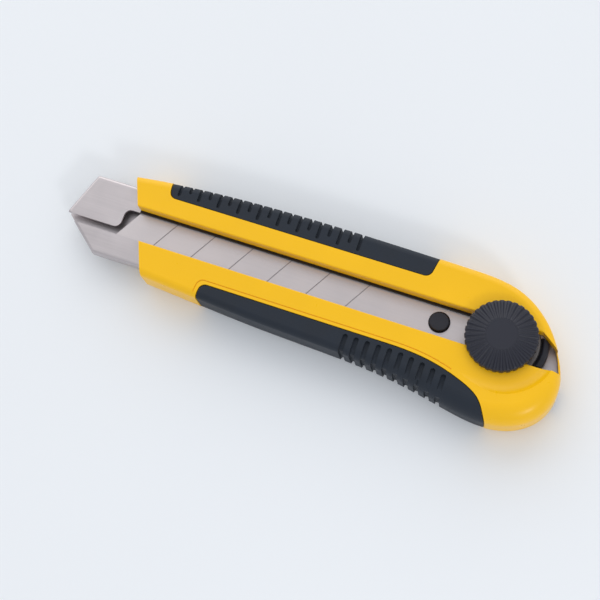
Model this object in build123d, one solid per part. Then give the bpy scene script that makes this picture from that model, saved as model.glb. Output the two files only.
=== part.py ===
"""Snap off knife, 25 mm blade, wheel lock.

Design frame while drawing: x runs from the nose to the butt, y towards the spine
(thumb side), z out of the wheel side, and z = 0 is the blade's front face.
At the end everything moves so that the bounding box stands centred on the origin.
"""
from build123d import *
from math import degrees
import os

# ---- blade and its scores -------------------------------------------------------------
BLADE_WIDTH = 25.0
BLADE_THICK = 0.7
BLADE_TIP_X = 15.1
BLADE_TAIL_X = 146.0
SCORE_PITCH = 14.0
SCORE_FIRST_X = 36.3
SCORE_COUNT = 6
SCORE_SLOPE = 0.575
SCORE_WIDTH = 0.34
SCORE_DEPTH = 0.12
BEVEL_HEIGHT = 2.6
STUD_X = 135.0
STUD_R = 3.3
BLADE_HOLE_R = 3.65

# ---- folded steel channel -------------------------------------------------------------
SHEET = 0.8
CHANNEL_WIDTH = 27.0
CHANNEL_TOP = 0.9
CHANNEL_BACK = -3.6
WINDOW_HALF = 4.9
NOSE_SLOT_TOP = -2.4
CHANNEL_SCREW_X = (48.0, 118.0)

# ---- handle shells --------------------------------------------------------------------
RAIL_TOP = 5.7
BULB_TOP = 8.3
BULB_START_X = 144.0
DISH_R = 14.0
DISH_RIM_R = 19.5
HANDLE_BACK = -9.3
PARTING = -5.6
SHELL_WINDOW_HALF = 5.8
WINDOW_CLOSE_X = (168.2, 176.0)
WINDOW_CLOSE_Y = 0.6
FRONT_EDGE_R = 2.4
BULB_EDGE_R = 6.0
BACK_EDGE_R = 4.0
PORT_CLEAR = 0.05
POCKET_FLOOR = -7.9
POCKETS_X = ((38.0, 43.5), (52.5, 80.0), (82.5, 113.5), (122.5, 152.0))
POCKETS_Y = ((0.8, 11.4), (-11.4, -0.8))

# ---- soft grips -----------------------------------------------------------------------
GRIP_THICK = 2.3
GRIP_SINK = 0.15
GRIP_GAP = 0.25
NOTCH_DEPTH = 1.1
THUMB_NOTCH_WIDTH = 1.2
FINGER_GROOVE_WIDTH = 1.7
BEAD_OFFSET = 1.0
BEAD_LINE = 0.3
THUMB_NOTCH_X0 = 37.3
THUMB_NOTCH_PITCH = 3.6
THUMB_NOTCHES = 19
FINGER_GROOVE_X0 = 108.1
FINGER_GROOVE_PITCH = 3.82
FINGER_GROOVES = 10
GROOVE_TOP_Y = -15.4
GROOVE_DROP_X = 124.0
THUMB_LONG_Y = 14.0
THUMB_SHORT_Y = 15.8

# ---- carriage and lock ----------------------------------------------------------------
LOCK_X = 156.0
SLIDER_FRONT_X = 128.0
SLIDER_REAR_R = 15.6
TAIL_FRONT_R = 13.1
TAIL_TOP = 2.6
TAIL_CLEAR = 0.3
SPRING_POCKET_X = (161.0, 170.0)
SPRING_POCKET_HALF = 3.1
SPRING_POCKET_TOP = -1.95
SLIDER_BOTTOM = -2.75
SHOULDER_X = 146.6
SHOULDER_TOP = 0.04
NECK_TOP = 0.85
NECK_HALF = 4.75
SLIDER_HALF = 12.3
BOLT_R = 2.5
BOLT_HEAD = 8.0
BOLT_HEAD_THICK = 1.3
BOLT_SEAT = SLIDER_BOTTOM + 1.35
BOLT_TOP = 8.75
PLATE_R = 12.75
PLATE_FRONT = 9.2
PLATE_HALF = 5.6
PLATE_BOTTOM = 0.95
PLATE_THICK = 1.4
WASHER_R = 5.2
WASHER_THICK = 0.5
SPRING_GAP = 0.75
WHEEL_R = 11.85
WHEEL_BOTTOM = 5.95
WHEEL_RIM_TOP = 8.7
WHEEL_TOP = 10.0
WHEEL_FLUTES = 32
HUB_R = 5.4
CAP_R = 5.15
CAP_PROUD = 0.03
CAP_SUNK = 1.1
NUT_R = 4.1
NUT_TOP = 6.8
CLIP_BOTTOM = 7.75

# ---- shell screws and snapper -----------------------------------------------------------
SHELL_SCREWS = ((146.0, 15.3), (166.5, -19.8))
SCREW_R = 1.25
SCREW_HEAD_R = 2.2
SCREW_HEAD_THICK = 1.4
SCREW_SEAT = -6.9
SNAPPER_Y = (-15.5, -7.5)
SNAPPER_Z = (-8.0, -5.6)
SNAPPER_X = (161.0, 178.5)
SNAPPER_INSET = 0.2
SNAPPER_PIN = (165.0, -11.5)
SNAPPER_PIN_R = 1.2
CROSS_REACH = 1.3
CROSS_HALF = 0.25


def block(x0, x1, y0, y1, z0, z1):
    """Axis-aligned block between two corners."""
    middle = Pos((x0 + x1) / 2, (y0 + y1) / 2, (z0 + z1) / 2)
    return middle * Box(x1 - x0, y1 - y0, z1 - z0)


def disc(x, y, radius, z0, z1):
    """Upright cylinder between two heights."""
    return Pos(x, y, (z0 + z1) / 2) * Cylinder(radius, z1 - z0)


def tube(x, y, outer, inner, z0, z1):
    """Upright ring between two heights."""
    return disc(x, y, outer, z0, z1) - disc(x, y, inner, z0 - 1, z1 + 1)


def cone(x, y, r0, r1, z0, z1):
    """Upright cone frustum, radius r0 at z0 and r1 at z1."""
    return Pos(x, y, (z0 + z1) / 2) * Cone(r0, r1, z1 - z0)


def prism(face, z0, z1):
    """Flat face, drawn at z = 0, stretched from z0 to z1."""
    return Pos(0, 0, z0) * extrude(face, z1 - z0, dir=(0, 0, 1))


def plate(points, z0, z1):
    """Polygon stretched from z0 to z1."""
    return prism(make_face(Polyline(*points, close=True)), z0, z1)


def slanted_strip(x_at_axis, width, z0, z1):
    """Strip across the blade, parallel to its scores."""
    reach = BLADE_WIDTH
    half = width / 2 * (1 + SCORE_SLOPE ** 2) ** 0.5
    low = x_at_axis - SCORE_SLOPE * reach
    high = x_at_axis + SCORE_SLOPE * reach
    corners = ((low - half, -reach), (low + half, -reach), (high + half, reach), (high - half, reach))
    return plate(corners, z0, z1)


def single(shape):
    """The one solid of a shape, without its wrapping compound."""
    solids = sorted(shape.solids(), key=lambda s: s.volume)
    return solids[-1]


# ---- handle form ------------------------------------------------------------------------
def drawn_in(curve, amount, samples):
    """Smooth curve that runs beside another one, on its right-hand side."""
    points = []
    for i in range(samples + 1):
        point = curve @ (i / samples)
        along = curve % (i / samples)
        points.append((point.X + along.Y * amount, point.Y - along.X * amount))
    return Spline(*points)


def handle_spine():
    """The long curve from the nose end's top, round the butt, to its bottom."""
    return Spline(
        (20.5, 16.1), (34.0, 17.7), (63.5, 19.6), (104.0, 20.0), (140.0, 19.5), (157.0, 17.3),
        (168.0, 10.2), (174.9, 0.6), (178.2, -10.0), (175.9, -19.0), (169.6, -24.9), (160.5, -27.6),
        (146.0, -26.3), (127.0, -22.8), (104.0, -20.9), (78.0, -19.9), (55.0, -18.4), (34.8, -16.9),
    )


def edge_y(x, upper):
    """Height of the handle's upper or lower outline at one x before the butt."""
    spine = handle_spine()
    near, far = (0.0, 0.4) if upper else (1.0, 0.6)
    for _ in range(30):
        middle = (near + far) / 2
        if (spine @ middle).X < x:
            near = middle
        else:
            far = middle
    return (spine @ near).Y


def handle_outline(inset=0.0):
    """Plan outline of the handle, with a slanted straight front."""
    spine = handle_spine()
    if inset:
        spine = drawn_in(spine, inset, 40)
    return make_face([spine, Line(spine @ 1, spine @ 0)])


def top_profile(inset, swells):
    """Side view of the handle's front surface, filled down past its back."""
    level = RAIL_TOP - inset
    if not swells:
        return make_face(Polyline((0, -30), (0, level), (200, level), (200, -30), close=True))
    crown = BULB_TOP - inset
    swell = Spline(
        (BULB_START_X, level), (158.0, level + 1.35), (172.0, crown), (200.0, crown),
        tangents=((1, 0), (1, 0)),
    )
    rest = Polyline((200.0, crown), (200, -30), (0, -30), (0, level), (BULB_START_X, level))
    return make_face([swell, rest])


def handle_solid(inset, edge_radius, swells=False):
    """Handle with rounded long edges, either level all along or swelling at the butt."""
    low = HANDLE_BACK + inset
    solid = prism(handle_outline(inset), low, BULB_TOP + 5)
    solid = solid & extrude(Plane.XZ * top_profile(inset, swells), 60, both=True)
    rim = solid.edges().filter_by(lambda e: e.center().Z > RAIL_TOP - 2 and e.length > 20)
    rim = rim.filter_by(lambda e: abs(e.center().X - 27.5) > 5 and e.geom_type != GeomType.LINE)
    solid = fillet(rim, edge_radius - inset)
    back = solid.edges().filter_by(lambda e: abs(e.center().Z - low) < 0.01 and e.length > 60)
    return fillet(back, BACK_EDGE_R - inset)


# ---- soft grip regions, seen in plan ----------------------------------------------------
def thumb_region(inset=0.0):
    """Long plain inlay along the spine, rounded at both lower corners."""
    corners = (
        (31.9 + inset, 27.0), (34.4 + inset, 11.9 + inset),
        (127.9 - inset, 12.1 + inset), (130.4 - inset, 27.0),
    )
    face = make_face(Polyline(*corners, close=True))
    return fillet(face.vertices().filter_by(lambda v: v.Y < 20), 2.6)


def finger_region(inset=0.0):
    """Inlay along the belly that sweeps down to the butt."""
    sweep = Spline(
        (122.0, -13.2), (136.0, -14.2), (148.5, -17.7), (155.3, -21.8), (158.8, -27.0), (163.0, -31.5),
        tangents=((1, 0), (1, -0.7)),
    )
    sweep = drawn_in(sweep, inset, 14)
    low, high = sweep @ 1, sweep @ 0
    rest = Polyline(low, (low.X, -38.0), (53.6 + inset, -38.0), (56.0 + inset, high.Y), high)
    face = make_face([sweep, rest])
    corner = face.vertices().filter_by(lambda v: v.Y > -20 and v.X < 60)
    return fillet(corner, 2.4)


# ---- handle body: rails, bulb and its scoop ---------------------------------------------
def wheel_dish():
    """Clearance round the wheel: dished behind it, straight ahead of it along its travel."""
    arc = Spline(
        (DISH_R, RAIL_TOP), (DISH_RIM_R, BULB_TOP + 0.3), tangents=((1, 0), (0.45, 1))
    )
    rest = Polyline(
        (DISH_RIM_R, BULB_TOP + 0.3), (DISH_RIM_R, 20), (0, 20), (0, RAIL_TOP), (DISH_R, RAIL_TOP)
    )
    profile = make_face([arc, rest])
    bowl = Pos(LOCK_X, 0, 0) * revolve(Plane.XZ * profile, Axis.Z)
    lane = extrude(Plane.YZ * mirror(profile, Plane.YZ), 40)
    return bowl + Pos(LOCK_X - 40, 0, 0) * lane


def handle_form(inset=0.0):
    """The whole handle: crisp edges in front and along the spine, rounder towards the butt."""
    grooves = [FINGER_GROOVE_X0 + i * FINGER_GROOVE_PITCH for i in (1, 4, 7)]
    form = handle_solid(inset, FRONT_EDGE_R)
    spine_side = form & block(-5, 200, 0, 60, -40, 40)
    belly = form & block(-5, grooves[0], -60, 0, -40, 40)
    growth = (BULB_EDGE_R - FRONT_EDGE_R) / 3
    for i in range(2):
        stage = handle_solid(inset, FRONT_EDGE_R + growth * (i + 1))
        belly = belly + (stage & block(grooves[i], grooves[i + 1], -60, 0, -40, 40))
    bulb = handle_solid(inset, BULB_EDGE_R, True) & block(grooves[2], 200, -60, 0, -40, 40)
    return spine_side + (belly + (bulb - wheel_dish()))


def channel_plan(grow=0.0):
    """Plan of the folded channel: beak at the nose, trimmed to the butt's curve behind."""
    corners = (
        (0.0, -2.1), (5.5, 13.5), (159.5, 13.5), (170.4, 5.8), (172.4, 4.8),
        (175.0, -0.5), (177.3, -6.8), (176.2, -13.5), (13.9, -13.5),
    )
    face = make_face(Polyline(*corners, close=True))
    face = fillet(face.vertices().filter_by(lambda v: v.X < 6), 0.8)
    if grow:
        face = make_face(offset(face, grow, kind=Kind.INTERSECTION).edges())
    return face


def grip_skin(region, inset):
    """Space of a grip: everything in its region outside the shells' inner core."""
    shape = handle_form(inset) & prism(region, -20, 20)
    core = prism(handle_outline(GRIP_THICK), HANDLE_BACK + GRIP_THICK, RAIL_TOP - GRIP_THICK)
    return shape - core


def notch(x, start, width, upper):
    """Cutter for one notch: round-ended in plan, wrapped round the grip's outer edge."""
    edge = edge_y(x, upper)
    side = 1 if upper else -1
    outer = edge + side * 4
    slot = SlotOverall(abs(outer - start) + width, width, rotation=90)
    cutter = Pos(x, (start + outer) / 2, 0) * extrude(slot, 14, both=True)
    deep = edge - side * NOTCH_DEPTH
    low, high = sorted((deep, deep - side * 14))
    keep = block(x - 2, x + 2, low, high, HANDLE_BACK + NOTCH_DEPTH, RAIL_TOP - NOTCH_DEPTH)
    for above, radius in ((True, FRONT_EDGE_R - NOTCH_DEPTH), (False, BACK_EDGE_R - NOTCH_DEPTH)):
        rim = keep.edges().filter_by(Axis.X).filter_by(lambda e: abs(e.center().Y - deep) < 0.01)
        rim = rim.filter_by(lambda e: (e.center().Z > 0) == above)
        keep = fillet(rim, radius)
    return cutter - keep


def make_thumb_grip():
    grip = grip_skin(thumb_region(GRIP_GAP), GRIP_SINK)
    cutters = []
    for i in range(THUMB_NOTCHES):
        start = THUMB_LONG_Y if i % 2 == 0 else THUMB_SHORT_Y
        x = THUMB_NOTCH_X0 + i * THUMB_NOTCH_PITCH
        cutters.append(notch(x, start, THUMB_NOTCH_WIDTH, True))
    return single(grip - cutters)


def make_finger_grip():
    grip = grip_skin(finger_region(GRIP_GAP), GRIP_SINK)
    cutters = []
    for i in range(FINGER_GROOVES):
        x = FINGER_GROOVE_X0 + i * FINGER_GROOVE_PITCH
        drop = max(0.0, (x - GROOVE_DROP_X) / 18.0) ** 1.6 * 2.6
        cutters.append(notch(x, GROOVE_TOP_Y - drop, FINGER_GROOVE_WIDTH, False))
    return single(grip - cutters)


# ---- handle body and cover --------------------------------------------------------------
def screw_ways():
    """Clearance through the back cover and pilot holes in the handle body."""
    ways = []
    for x, y in SHELL_SCREWS:
        ways.append(disc(x, y, SCREW_HEAD_R + 0.15, -20, SCREW_SEAT))
        ways.append(disc(x, y, SCREW_R + 0.1, -20, PARTING))
        ways.append(disc(x, y, SCREW_R, -20, 2.2))
    return ways


def window_plan(inset=0.0):
    """Corners of the opening in the front face, whose thumb side closes in at the rear."""
    half = SHELL_WINDOW_HALF - inset
    start, end = (x - inset for x in WINDOW_CLOSE_X)
    close = WINDOW_CLOSE_Y - inset
    return ((-5, -half), (-5, half), (start, half), (end, close), (190, close), (190, -half))


def yellow_form():
    """Body and cover in one: handle form less the grips, the channel's bed and the window."""
    form = handle_form()
    form = form - grip_skin(thumb_region(), 0.0) - grip_skin(finger_region(), 0.0)
    form = form - prism(channel_plan(PORT_CLEAR), CHANNEL_BACK - PORT_CLEAR, CHANNEL_TOP + PORT_CLEAR)
    form = form - plate(window_plan(), CHANNEL_TOP, 20)
    outer = finger_region(-BEAD_OFFSET - BEAD_LINE) - finger_region(-BEAD_OFFSET)
    line = prism(outer, RAIL_TOP - BEAD_LINE, 20) & block(50, BULB_START_X, -40, 0, 0, 20)
    return form - line - screw_ways()


def make_handle_body(form):
    """Main moulding: both rails, joined by the web under the channel."""
    body = single(form & block(-5, 200, -60, 60, PARTING, 20))
    rim = body.edges().filter_by(
        lambda e: abs(e.center().Z - RAIL_TOP) < 0.01
        and abs(abs(e.center().Y) - SHELL_WINDOW_HALF) < 0.01
        and e.length > 60
    )
    body = fillet(rim, 0.5)
    for x in CHANNEL_SCREW_X:
        body = body - disc(x, 0, SCREW_R, -8.0, 0)
    return single(body)


def make_back_cover(form):
    """Cover over the back of the handle body, cored out between its screws."""
    cover = form & block(-5, 200, -60, 60, -20, PARTING)
    for x0, x1 in POCKETS_X:
        for y0, y1 in POCKETS_Y:
            cover = cover - block(x0, x1, y0, y1, POCKET_FLOOR, PARTING)
    for x in CHANNEL_SCREW_X:
        cover = cover - disc(x, 0, SCREW_R, -8.0, PARTING)
    x0, x1 = SNAPPER_X
    cover = cover - block(x0 - 0.05, 200, SNAPPER_Y[0] - 0.05, SNAPPER_Y[1] + 0.05, *SNAPPER_Z)
    cover = cover - disc(*SNAPPER_PIN, SNAPPER_PIN_R, -20, PARTING)
    return single(cover)


# ---- steel channel and blade ------------------------------------------------------------
def make_blade_channel():
    outer = prism(channel_plan(), CHANNEL_BACK, CHANNEL_TOP)
    folds = outer.edges().filter_by(Axis.X).filter_by(lambda e: e.length > 60)
    outer = fillet(folds, 1.0)
    half = CHANNEL_WIDTH / 2 - SHEET
    hollow = block(-5, 200, -half, half, CHANNEL_BACK + SHEET, CHANNEL_TOP - SHEET)
    corners = (
        (-5, -WINDOW_HALF), (-5, NOSE_SLOT_TOP), (19.9, NOSE_SLOT_TOP),
        (19.9, WINDOW_HALF), (200, WINDOW_HALF), (200, -WINDOW_HALF),
    )
    slot = make_face(Polyline(*corners, close=True))
    bend = slot.vertices().filter_by(lambda v: 10 < v.X < 30)
    slot = fillet(bend, 2.3)
    shape = outer - hollow - prism(slot, 0, 5)
    for x in CHANNEL_SCREW_X:
        shape = shape - cone(x, 0, 1.3, 2.4, CHANNEL_BACK, CHANNEL_BACK + SHEET)
    return single(shape)


def make_blade():
    half = BLADE_WIDTH / 2
    top_x = BLADE_TIP_X + SCORE_SLOPE * BLADE_WIDTH
    corners = (
        (BLADE_TIP_X, -half), (top_x, half), (BLADE_TAIL_X - 2, half), (BLADE_TAIL_X, half - 2),
        (BLADE_TAIL_X, -half + 2), (BLADE_TAIL_X - 2, -half),
    )
    shape = plate(corners, -BLADE_THICK, 0)
    shape = shape - disc(STUD_X, 0, BLADE_HOLE_R, -2, 2)
    for i in range(SCORE_COUNT):
        x = SCORE_FIRST_X + i * SCORE_PITCH
        shape = shape - slanted_strip(x, SCORE_WIDTH, -SCORE_DEPTH, 1)
    middle = -BLADE_THICK / 2
    edge = middle + 0.03
    profile = ((-half - 1, 0.5), (-half + BEVEL_HEIGHT, 0.01), (-half, edge), (-half - 1, edge))
    for flip in (1, -1):
        wedge = make_face(Polyline(*[(y, (z - middle) * flip) for y, z in profile], close=True))
        wedge = Pos(0, 0, middle) * (Plane.YZ * wedge)
        shape = shape - extrude(wedge, 200, dir=(1, 0, 0))
    return single(shape)


# ---- carriage and lock ------------------------------------------------------------------
def make_slider_carriage():
    tongue = block(SLIDER_FRONT_X, SHOULDER_X + 1, -SLIDER_HALF, SLIDER_HALF, SLIDER_BOTTOM, -BLADE_THICK)
    tongue = chamfer(tongue.edges().filter_by(Axis.Z).filter_by(lambda e: e.center().X < 130), 3.0)
    flank = ((SHOULDER_X, SLIDER_HALF), (157.5, SLIDER_HALF), (168.0, NECK_HALF))
    mirror_flank = [(x, -y) for x, y in reversed(flank)]
    shoulder = plate([*flank, *mirror_flank], SLIDER_BOTTOM, SHOULDER_TOP)
    neck = block(SHOULDER_X + 0.6, 175, -NECK_HALF, NECK_HALF, SLIDER_BOTTOM, NECK_TOP)
    neck = neck & disc(LOCK_X, 0, SLIDER_REAR_R, -10, 10)
    tail = tube(LOCK_X, 0, SLIDER_REAR_R, TAIL_FRONT_R, 0, TAIL_TOP)
    tail = tail & block(LOCK_X, 200, -NECK_HALF, NECK_HALF, -1, 10)
    tail = fillet(tail.edges().group_by(Axis.Z)[-1].filter_by(GeomType.CIRCLE), 0.9)
    neck = neck + (tail & plate(window_plan(TAIL_CLEAR), -1, 10))
    stud = disc(STUD_X, 0, STUD_R, -BLADE_THICK - 0.1, 1.3)
    stud = fillet(stud.edges().group_by(Axis.Z)[-1], 0.5)
    shape = tongue + shoulder + neck + stud
    side = BOLT_HEAD / 2
    shape = shape - block(LOCK_X - side, LOCK_X + side, -side, side, -5, BOLT_SEAT)
    shape = shape - disc(LOCK_X, 0, BOLT_R + 0.02, -5, 5)
    pocket = SPRING_POCKET_HALF
    shape = shape - block(*SPRING_POCKET_X, -pocket, pocket, -5, SPRING_POCKET_TOP)
    return single(shape)


def make_lock_bolt():
    side = BOLT_HEAD / 2
    head = block(LOCK_X - side, LOCK_X + side, -side, side, BOLT_SEAT - BOLT_HEAD_THICK, BOLT_SEAT)
    shank = disc(LOCK_X, 0, BOLT_R, BOLT_SEAT, BOLT_TOP)
    shank = chamfer(shank.edges().group_by(Axis.Z)[-1], 0.4)
    return single(head + shank - tube(LOCK_X, 0, 3.0, 2.0, CLIP_BOTTOM, CLIP_BOTTOM + 0.6))


def make_slider_spring():
    """Shallow bowed leaf under the carriage."""
    radius = 16.3
    low = CHANNEL_BACK + SHEET + 0.03
    bow = Pos(165.5, 0, low + radius) * Rot(90, 0, 0) * (Cylinder(radius, 5.6) - Cylinder(radius - 0.25, 6))
    return single(bow & block(161.3, 169.7, -2.8, 2.8, low - 1, low + 1))


def make_pressure_plate():
    top = PLATE_BOTTOM + PLATE_THICK
    shape = disc(LOCK_X, 0, PLATE_R, PLATE_BOTTOM, top)
    shape = shape & block(LOCK_X - PLATE_FRONT, 200, -PLATE_HALF, PLATE_HALF, 0, 5)
    shape = chamfer(shape.edges().group_by(Axis.Z)[-1], 0.25)
    return single(shape - disc(LOCK_X, 0, BOLT_R + 0.08, 0, 5))


def make_thrust_washer():
    base = PLATE_BOTTOM + PLATE_THICK
    return single(tube(LOCK_X, 0, WASHER_R, BOLT_R + 0.08, base, base + WASHER_THICK))


def make_spring_washer():
    """Conical spring washer, standing on its outer edge."""
    base = PLATE_BOTTOM + PLATE_THICK + WASHER_THICK
    rise = SPRING_GAP - 0.3
    inner = BOLT_R + 0.08
    profile = ((WASHER_R, base), (WASHER_R, base + 0.3), (inner, base + 0.3 + rise), (inner, base + rise))
    ring = revolve(Plane.XZ * make_face(Polyline(*profile, close=True)), Axis.Z)
    return single(Pos(LOCK_X, 0, 0) * ring)


def make_lock_wheel():
    hub_base = PLATE_BOTTOM + PLATE_THICK + WASHER_THICK + SPRING_GAP
    profile = Polyline(
        (0, hub_base), (HUB_R, hub_base), (HUB_R, WHEEL_BOTTOM), (WHEEL_R, WHEEL_BOTTOM),
        (WHEEL_R, WHEEL_RIM_TOP), (CAP_R + 0.35, WHEEL_TOP), (0, WHEEL_TOP), close=True,
    )
    wheel = revolve(Plane.XZ * make_face(profile), Axis.Z)
    for height, radius in ((WHEEL_RIM_TOP, 1.0), (WHEEL_BOTTOM, 0.4)):
        rim = wheel.edges().filter_by(GeomType.CIRCLE).filter_by(lambda e: abs(e.radius - WHEEL_R) < 0.01)
        rim = rim.filter_by(lambda e: abs(e.center().Z - height) < 0.01)
        wheel = fillet(rim, radius)
    run = WHEEL_R - CAP_R
    fall = WHEEL_TOP - WHEEL_RIM_TOP
    pitch_angle = 90 + degrees(fall / run)
    cutters = []
    for i in range(WHEEL_FLUTES):
        turn = Rot(0, 0, 360 / WHEEL_FLUTES * i)
        flute = Pos(9.0, 0, WHEEL_TOP - 0.45) * Rot(0, pitch_angle, 0) * Cone(0.38, 0.95, 7.4)
        side = Pos(WHEEL_R + 0.62, 0, 8) * Cylinder(0.95, 8)
        cutters.append(turn * flute)
        cutters.append(turn * side)
    wheel = wheel - cutters
    wheel = wheel - disc(0, 0, NUT_R, hub_base + 0.6, WHEEL_TOP - CAP_SUNK)
    wheel = wheel - disc(0, 0, BOLT_R + 0.3, hub_base - 1, hub_base + 1)
    wheel = wheel - disc(0, 0, CAP_R, WHEEL_TOP - CAP_SUNK, WHEEL_TOP + 1)
    return single(Pos(LOCK_X, 0, 0) * wheel)


def make_wheel_cap():
    cap = disc(LOCK_X, 0, CAP_R, WHEEL_TOP - CAP_SUNK, WHEEL_TOP + CAP_PROUD)
    return single(fillet(cap.edges().group_by(Axis.Z)[-1], 0.12))


def make_wheel_nut():
    base = PLATE_BOTTOM + PLATE_THICK + WASHER_THICK + SPRING_GAP + 0.6
    return single(tube(LOCK_X, 0, NUT_R, BOLT_R + 0.05, base, NUT_TOP))


def make_retaining_clip():
    ring = tube(LOCK_X, 0, 3.7, 2.02, CLIP_BOTTOM + 0.03, CLIP_BOTTOM + 0.57)
    return single(ring - block(LOCK_X, LOCK_X + 6, -1.3, 1.3, 0, 20))


# ---- screws, snapper --------------------------------------------------------------------
def cross_slot(x, y, z0, z1):
    """Cross recess for a driver."""
    along = block(x - CROSS_REACH, x + CROSS_REACH, y - CROSS_HALF, y + CROSS_HALF, z0, z1)
    return along + block(x - CROSS_HALF, x + CROSS_HALF, y - CROSS_REACH, y + CROSS_REACH, z0, z1)


def make_shell_screws():
    screws = []
    for x, y in SHELL_SCREWS:
        head = disc(x, y, SCREW_HEAD_R, SCREW_SEAT - SCREW_HEAD_THICK, SCREW_SEAT)
        head = fillet(head.edges().group_by(Axis.Z)[0], 0.6)
        shank = disc(x, y, SCREW_R, SCREW_SEAT, 1.0) + cone(x, y, SCREW_R, 0.3, 1.0, 2.1)
        screws.append(single(head + shank - cross_slot(x, y, -12, SCREW_SEAT - 0.5)))
    return Compound(children=screws)


def make_channel_screws():
    floor = CHANNEL_BACK + SHEET
    screws = []
    for x in CHANNEL_SCREW_X:
        head = cone(x, 0, 1.25, 2.3, CHANNEL_BACK, floor - 0.05)
        shank = disc(x, 0, SCREW_R, -7.4, CHANNEL_BACK) + cone(x, 0, 0.3, SCREW_R, -7.95, -7.4)
        screws.append(single(head + shank - cross_slot(x, 0, floor - 0.45, 0)))
    return Compound(children=screws)


def make_blade_snapper():
    x0, x1 = SNAPPER_X
    y0, y1 = SNAPPER_Y
    shape = block(x0, x1, y0, y1, SNAPPER_Z[0] + 0.03, SNAPPER_Z[1] - 0.03)
    shape = shape & prism(handle_outline(SNAPPER_INSET), -20, 20)
    middle = (SNAPPER_Z[0] + SNAPPER_Z[1]) / 2
    shape = shape - block(170.5, 190, -30, 0, middle - 0.5, middle + 0.5)
    return single(shape - disc(*SNAPPER_PIN, SNAPPER_PIN_R, -20, 20))


def make_snapper_pin():
    return single(disc(*SNAPPER_PIN, SNAPPER_PIN_R, HANDLE_BACK + 0.2, PARTING))


def build():
    form = yellow_form()
    return {
        "handle_body": make_handle_body(form),
        "back_cover": make_back_cover(form),
        "thumb_grip": make_thumb_grip(),
        "finger_grip": make_finger_grip(),
        "blade_channel": make_blade_channel(),
        "blade": make_blade(),
        "slider_carriage": make_slider_carriage(),
        "slider_spring": make_slider_spring(),
        "lock_bolt": make_lock_bolt(),
        "retaining_clip": make_retaining_clip(),
        "pressure_plate": make_pressure_plate(),
        "thrust_washer": make_thrust_washer(),
        "spring_washer": make_spring_washer(),
        "lock_wheel": make_lock_wheel(),
        "wheel_nut": make_wheel_nut(),
        "wheel_cap": make_wheel_cap(),
        "blade_snapper": make_blade_snapper(),
        "snapper_pin": make_snapper_pin(),
        "shell_screws": make_shell_screws(),
        "channel_screws": make_channel_screws(),
    }


nodes = build()
bounds = Compound(children=[Compound(children=list(n.solids())) for n in nodes.values()]).bounding_box()
to_row = Pos(-bounds.center().X, -bounds.center().Y, -bounds.min.Z)
os.makedirs("parts", exist_ok=True)
for name, node in nodes.items():
    placed = to_row * node
    export_step(placed, f"parts/{name}.step")
print("shift", -bounds.center().X, -bounds.center().Y, -bounds.min.Z)
print("size", bounds.size)
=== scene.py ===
"""Looks of the snap off knife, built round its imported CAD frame. Units are metres."""
import math

import bpy
from mathutils import Matrix, Vector


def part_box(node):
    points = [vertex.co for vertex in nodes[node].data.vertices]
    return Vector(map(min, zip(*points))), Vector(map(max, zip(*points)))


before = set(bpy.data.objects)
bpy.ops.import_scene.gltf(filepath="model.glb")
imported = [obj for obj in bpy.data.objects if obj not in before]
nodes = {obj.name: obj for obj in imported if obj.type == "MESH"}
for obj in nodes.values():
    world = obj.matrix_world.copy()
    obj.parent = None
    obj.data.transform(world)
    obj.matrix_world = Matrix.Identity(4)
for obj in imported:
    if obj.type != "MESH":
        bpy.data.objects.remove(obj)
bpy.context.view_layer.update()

MM = 0.001

# ---- colours, linear ------------------------------------------------------------------
YELLOW = (0.95, 0.525, 0.005)
BLACK_RUBBER = (0.008, 0.013, 0.022)
BLACK_PLASTIC = (0.018, 0.019, 0.030)
STEEL = (0.55, 0.505, 0.51)
BLADE_STEEL = (0.61, 0.56, 0.56)
# painted shade: the pressure plate's steel is darkened for the shadow it lies in under the wheel
SHADED_PLATE_STEEL = (0.20, 0.185, 0.18)
ZINC = (0.62, 0.62, 0.63)
BRASS = (0.72, 0.50, 0.20)
# painted shade: colour for the shade inside the blade's score grooves
SCORE_PAINTED_SHADE = (0.34, 0.31, 0.31)
# painted shadow: colour for the dark shadow gap between the blade and the rails
LIP_PAINTED_SHADOW = (0.035, 0.032, 0.032)
FLOOR_DARK = (0.84, 0.86, 0.88)
FLOOR_LIGHT = (0.86, 0.88, 0.90)
SKY = (0.92, 0.95, 1.0)
KEY_COLOUR = (1.0, 0.985, 0.96)
FILL_COLOUR = (0.97, 0.98, 1.0)

# ---- where painted shade falls on the blade and its channel ---------------------------
SCORE_LIP = 0.05 * MM  # the painted shade starts this far below the blade's front face
BEVEL_HEIGHT = 2.7 * MM  # the ground edge gets no painted shade
LIP_DEPTH = 1.0 * MM
LIP_REACH = 5.9 * MM  # from the channel's middle, towards each lip
SPINE_LIP_START = 4.5 * MM  # behind the handle's front end
BELLY_LIP_START = 9.5 * MM

# ---- light and floor ------------------------------------------------------------------
KEY_PLACE = (-0.75, 1.60, 1.00)
KEY_SIZE = (3.2, 2.4)
KEY_POWER = 26.0
FILL_PLACE = (0.7, -0.6, 0.6)
FILL_SIZE = (0.16, 0.16)
FILL_POWER = 1.9
SKY_STRENGTH = 0.75
FLOOR_SIZE = 80
FLOOR_LEVEL = -0.0001  # just under the knife, so the two faces never coincide

# ---- view -----------------------------------------------------------------------------
# The view is a pinhole one: turned about Y, tipped about X and rolled about its own axis.
VIEW_TURN = math.radians(-12.2)
VIEW_TIP = math.radians(-12.9)
VIEW_ROLL = math.radians(-20.5)
VIEW_DISTANCE = 0.4467
VIEW_SHIFT = (-0.0463, 0.0221)
VIEW_ORIGIN = Vector(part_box("blade")[0]) + Vector((21.2, 12.5, 0.7)) * MM
LENS = 78.0  # millimetres, as Blender takes them
SENSOR_WIDTH = 36.0
CLIP_START = 0.01


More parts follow.
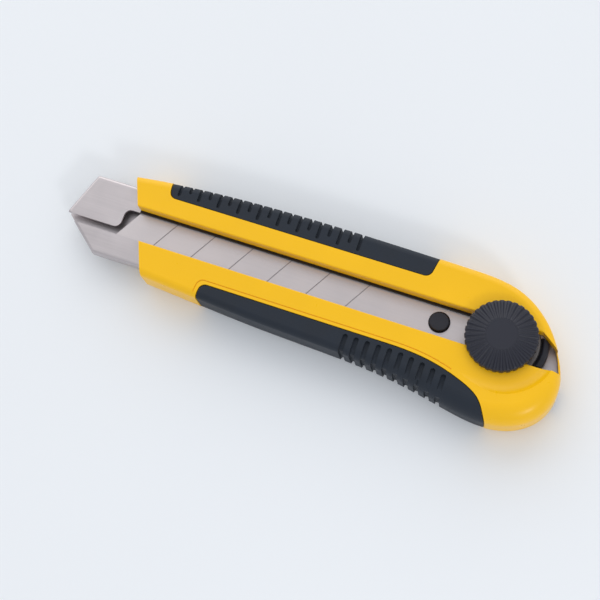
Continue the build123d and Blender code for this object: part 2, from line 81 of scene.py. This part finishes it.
# ---- materials ------------------------------------------------------------------------
class Shader:
    """A material's node tree, with short calls for the nodes used here."""

    def __init__(self, name, **constants):
        self.material = bpy.data.materials.new(name)
        self.material.use_nodes = True
        self.tree = self.material.node_tree
        self.bsdf = self.tree.nodes["Principled BSDF"]
        self.colour = None
        self.put(self.bsdf, **constants)
        self.place = self.add("ShaderNodeTexCoord").outputs["Object"]

    def add(self, kind, **settings):
        node = self.tree.nodes.new(kind)
        for key, value in settings.items():
            setattr(node, key, value)
        return node

    def feed(self, socket, value):
        """Links another node's output to a socket, or sets a constant on it."""
        if isinstance(value, bpy.types.NodeSocket):
            self.tree.links.new(value, socket)
        else:
            socket.default_value = value

    def put(self, node, **values):
        for key, value in values.items():
            self.feed(node.inputs[key.replace("_", " ")], value)

    def stretched(self, scale, turn):
        """Object coordinates turned about Z, with their own scale on each axis."""
        node = self.add("ShaderNodeMapping")
        self.put(node, Scale=scale, Rotation=(0, 0, turn), Vector=self.place)
        return node.outputs["Vector"]

    def noise(self, vector, scale, detail, roughness=0.55):
        node = self.add("ShaderNodeTexNoise")
        self.put(node, Vector=vector, Scale=scale, Detail=detail, Roughness=roughness)
        return node.outputs["Fac"]

    def cells(self, vector, scale):
        node = self.add("ShaderNodeTexVoronoi")
        self.put(node, Vector=vector, Scale=scale)
        return node.outputs["Distance"]

    def spread(self, value, low, high, out_low, out_high):
        """Maps a number from one span to another, clamped."""
        node = self.add("ShaderNodeMapRange")
        self.put(node, Value=value, From_Min=low, From_Max=high, To_Min=out_low, To_Max=out_high)
        return node.outputs["Result"]

    def ramp(self, value, low, high):
        """Blends between two (position, colour) stops."""
        node = self.add("ShaderNodeValToRGB")
        for element, (position, colour) in zip(node.color_ramp.elements, (low, high)):
            element.position, element.color = position, (*colour, 1)
        self.put(node, Fac=value)
        return node.outputs["Color"]

    def maths(self, operation, a, b):
        node = self.add("ShaderNodeMath", operation=operation)
        for socket, value in zip(node.inputs, (a, b)):
            self.feed(socket, value)
        return node.outputs["Value"]

    def bump(self, height, distance):
        node = self.add("ShaderNodeBump")
        self.put(node, Height=height, Distance=distance, Strength=1.0)
        self.put(self.bsdf, Normal=node.outputs["Normal"])


def shade(colour, factor):
    return tuple(min(1.0, c * factor) for c in colour)


def moulded_plastic(name, colour, roughness, grain=0.000012, grain_scale=5200.0, specular=0.4):
    """Satin moulded plastic with a fine spark-eroded grain."""
    s = Shader(name, IOR=1.5, Specular_IOR_Level=specular)
    broad = s.noise(s.place, scale=38.0, detail=2.0)
    scuffs = s.noise(s.place, scale=260.0, detail=5.0, roughness=0.65)
    fine = s.noise(s.place, scale=grain_scale, detail=2.0)
    s.put(
        s.bsdf,
        Base_Color=s.ramp(broad, (0.3, shade(colour, 0.965)), (0.7, shade(colour, 1.02))),
        Roughness=s.spread(scuffs, 0.3, 0.75, roughness - 0.03, roughness + 0.06),
    )
    s.bump(fine, grain)
    return s


def soft_rubber(name, colour, roughness):
    """Overmoulded grip: matt, with a pebbled skin and a little dust."""
    s = Shader(name, IOR=1.48, Specular_IOR_Level=0.4, Sheen_Weight=0.04, Sheen_Roughness=0.5)
    dust = s.noise(s.place, scale=120.0, detail=6.0, roughness=0.7)
    pebbles = s.cells(s.place, scale=2600.0)
    fine = s.noise(s.place, scale=3800.0, detail=2.0)
    s.put(
        s.bsdf,
        Base_Color=s.ramp(dust, (0.35, colour), (0.75, shade(colour, 1.35))),
        Roughness=s.spread(dust, 0.3, 0.8, roughness - 0.05, roughness + 0.1),
    )
    s.bump(s.maths("ADD", pebbles, s.maths("MULTIPLY", fine, 0.6)), 0.00003)
    return s


def brushed_metal(name, colour, roughness, along=0.0, blotch=0.08):
    """Rolled or ground metal: long fine lines along one direction, with faint stains."""
    s = Shader(name, Metallic=1.0)
    grain = s.stretched((26.0, 1900.0, 1900.0), along)
    streaks = s.noise(grain, scale=1.0, detail=6.0, roughness=0.7)
    stains = s.noise(s.place, scale=55.0, detail=5.0, roughness=0.6)
    tone = s.maths("ADD", s.maths("MULTIPLY", streaks, 0.45), s.maths("MULTIPLY", stains, 0.55))
    s.colour = s.ramp(tone, (0.35, shade(colour, 1 - blotch)), (0.65, shade(colour, 1 + blotch)))
    s.put(
        s.bsdf,
        Base_Color=s.colour,
        Roughness=s.spread(tone, 0.3, 0.7, roughness - 0.07, roughness + 0.09),
    )
    s.bump(streaks, 0.000004)
    return s


def paint_shade_box(s, spans, colour):
    """Paints shade over whatever lies inside a box of the object's own coordinates."""
    axes = s.add("ShaderNodeSeparateXYZ")
    s.put(axes, Vector=s.place)
    inside = 1.0
    for axis, (low, high) in spans.items():
        above = s.maths("GREATER_THAN", axes.outputs[axis], low)
        below = s.maths("LESS_THAN", axes.outputs[axis], high)
        inside = s.maths("MULTIPLY", s.maths("MULTIPLY", above, below), inside)
    mix = s.add("ShaderNodeMix", data_type="RGBA")
    s.put(mix, Factor=inside)
    plain_colour, shade_colour = [socket for socket in mix.inputs if socket.type == "RGBA"]
    s.feed(plain_colour, s.colour)
    s.feed(shade_colour, (*colour, 1))
    s.colour = [socket for socket in mix.outputs if socket.type == "RGBA"][0]
    s.put(s.bsdf, Base_Color=s.colour)


def paint_score_shade(s):
    """Painted shade in the blade's scores: whatever lies just below its front face, above the
    bevel.
    """
    low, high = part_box("blade")
    depth = (high[2] - 3 * SCORE_LIP, high[2] - SCORE_LIP)
    paint_shade_box(s, {"Z": depth, "Y": (low[1] + BEVEL_HEIGHT, high[1])}, SCORE_PAINTED_SHADE)


def paint_lip_shadow(s):
    """Painted shadow along the channel's lips, in the gap between the blade and the rails."""
    low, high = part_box("blade_channel")
    middle = (low[1] + high[1]) / 2
    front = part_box("handle_body")[0][0]
    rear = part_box("lock_wheel")[0][0]
    spine_side = (middle, middle + LIP_REACH)
    belly_side = (middle - LIP_REACH, middle)
    for side, start in ((spine_side, SPINE_LIP_START), (belly_side, BELLY_LIP_START)):
        spans = {"X": (front + start, rear), "Y": side, "Z": (high[2] - LIP_DEPTH, high[2] + MM)}
        paint_shade_box(s, spans, LIP_PAINTED_SHADOW)


yellow = moulded_plastic("yellow_plastic", YELLOW, 0.30, specular=0.32)
rubber = soft_rubber("grip_rubber", BLACK_RUBBER, 0.62)
wheel_black = moulded_plastic("wheel_plastic", BLACK_PLASTIC, 0.42, 0.00002, 3200.0)
carriage_black = moulded_plastic("carriage_plastic", shade(BLACK_PLASTIC, 0.8), 0.45)
channel_steel = brushed_metal("channel_steel", STEEL, 0.36)
blade_steel = brushed_metal("blade_steel", BLADE_STEEL, 0.38, along=math.radians(90), blotch=0.04)
# the pressure plate's steel, darkened as painted shade under the wheel
plate_steel = brushed_metal("plate_steel", SHADED_PLATE_STEEL, 0.42)
zinc = brushed_metal("zinc_plate", ZINC, 0.33, blotch=0.05)
spring_steel = brushed_metal("spring_steel", shade(ZINC, 0.85), 0.3, blotch=0.05)
brass = brushed_metal("brass", BRASS, 0.3, blotch=0.05)
# painted shade in the blade's scores
paint_score_shade(blade_steel)
# painted shadow along the channel's lips
paint_lip_shadow(channel_steel)

FINISH = {
    "handle_body": yellow,
    "back_cover": yellow,
    "thumb_grip": rubber,
    "finger_grip": rubber,
    "blade_channel": channel_steel,
    "blade": blade_steel,
    "slider_carriage": carriage_black,
    "slider_spring": spring_steel,
    "lock_bolt": zinc,
    "retaining_clip": spring_steel,
    "pressure_plate": plate_steel,
    "thrust_washer": zinc,
    "spring_washer": spring_steel,
    "lock_wheel": wheel_black,
    "wheel_nut": brass,
    "wheel_cap": wheel_black,
    "blade_snapper": carriage_black,
    "snapper_pin": zinc,
    "shell_screws": zinc,
    "channel_screws": zinc,
}
for name, shader in FINISH.items():
    mesh = nodes[name].data
    mesh.materials.clear()
    mesh.materials.append(shader.material)


# ---- camera ---------------------------------------------------------------------------
def aim_camera():
    turn = (
        Matrix.Rotation(VIEW_ROLL, 3, "Z")
        @ Matrix.Rotation(VIEW_TIP, 3, "X")
        @ Matrix.Rotation(VIEW_TURN, 3, "Y")
    )
    back = turn.transposed()
    data = bpy.data.cameras.new("camera")
    data.lens = LENS
    data.sensor_width = SENSOR_WIDTH
    data.clip_start = CLIP_START
    camera = bpy.data.objects.new("camera", data)
    bpy.context.scene.collection.objects.link(camera)
    spot = back @ Vector((-VIEW_SHIFT[0], -VIEW_SHIFT[1], VIEW_DISTANCE)) + VIEW_ORIGIN
    camera.matrix_world = Matrix.Translation(spot) @ back.to_4x4()
    bpy.context.scene.camera = camera


# ---- floor and light ------------------------------------------------------------------
def make_floor():
    bpy.ops.mesh.primitive_plane_add(size=FLOOR_SIZE, location=(0, 0, FLOOR_LEVEL))
    floor = bpy.context.object
    floor.name = "floor"
    s = Shader("floor_paint", Roughness=0.7)
    tone = s.noise(s.place, scale=3.0, detail=2.0)
    s.put(s.bsdf, Base_Color=s.ramp(tone, (0.3, FLOOR_DARK), (0.7, FLOOR_LIGHT)))
    floor.data.materials.append(s.material)


def area_light(name, place, size, power, colour):
    """A rectangular soft light, aimed at the middle of the knife."""
    data = bpy.data.lights.new(name, "AREA")
    data.shape = "RECTANGLE"
    data.size, data.size_y = size
    data.energy = power
    data.color = colour
    light = bpy.data.objects.new(name, data)
    light.location = place
    light.rotation_euler = (-Vector(place)).to_track_quat("-Z", "Y").to_euler()
    bpy.context.scene.collection.objects.link(light)


def make_sky():
    world = bpy.data.worlds.new("sky")
    world.use_nodes = True
    background = world.node_tree.nodes["Background"]
    background.inputs["Color"].default_value = (*SKY, 1)
    background.inputs["Strength"].default_value = SKY_STRENGTH
    bpy.context.scene.world = world


aim_camera()
make_floor()
area_light("key", KEY_PLACE, KEY_SIZE, KEY_POWER, KEY_COLOUR)
area_light("fill", FILL_PLACE, FILL_SIZE, FILL_POWER, FILL_COLOUR)
make_sky()
bpy.context.scene.view_settings.view_transform = "Standard"
